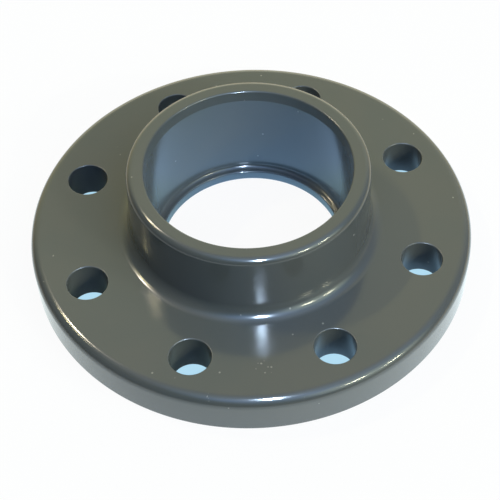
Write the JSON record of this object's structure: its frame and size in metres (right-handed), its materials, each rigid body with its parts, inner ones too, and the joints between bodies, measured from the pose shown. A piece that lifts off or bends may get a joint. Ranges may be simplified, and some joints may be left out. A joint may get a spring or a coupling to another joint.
{
  "type": "full face flange",
  "caption": "Round grey plastic pipe flange with a full flat face, bolt holes around its rim, and a raised hub whose socket takes a cemented pipe end.",
  "frame": {"origin": "centre of the gasket face, the flat underside", "axes": "+Z along the pipe axis, from the gasket face up to the hub's rim; +X and +Y each run midway between two bolt holes"},
  "size_m": [0.2, 0.2, 0.054],
  "materials": {
    "grey_pvc": "moulded PVC-U, half gloss"
  },
  "bodies": {
    "root": {"flange": "grey_pvc"}
  },
  "joints": []
}
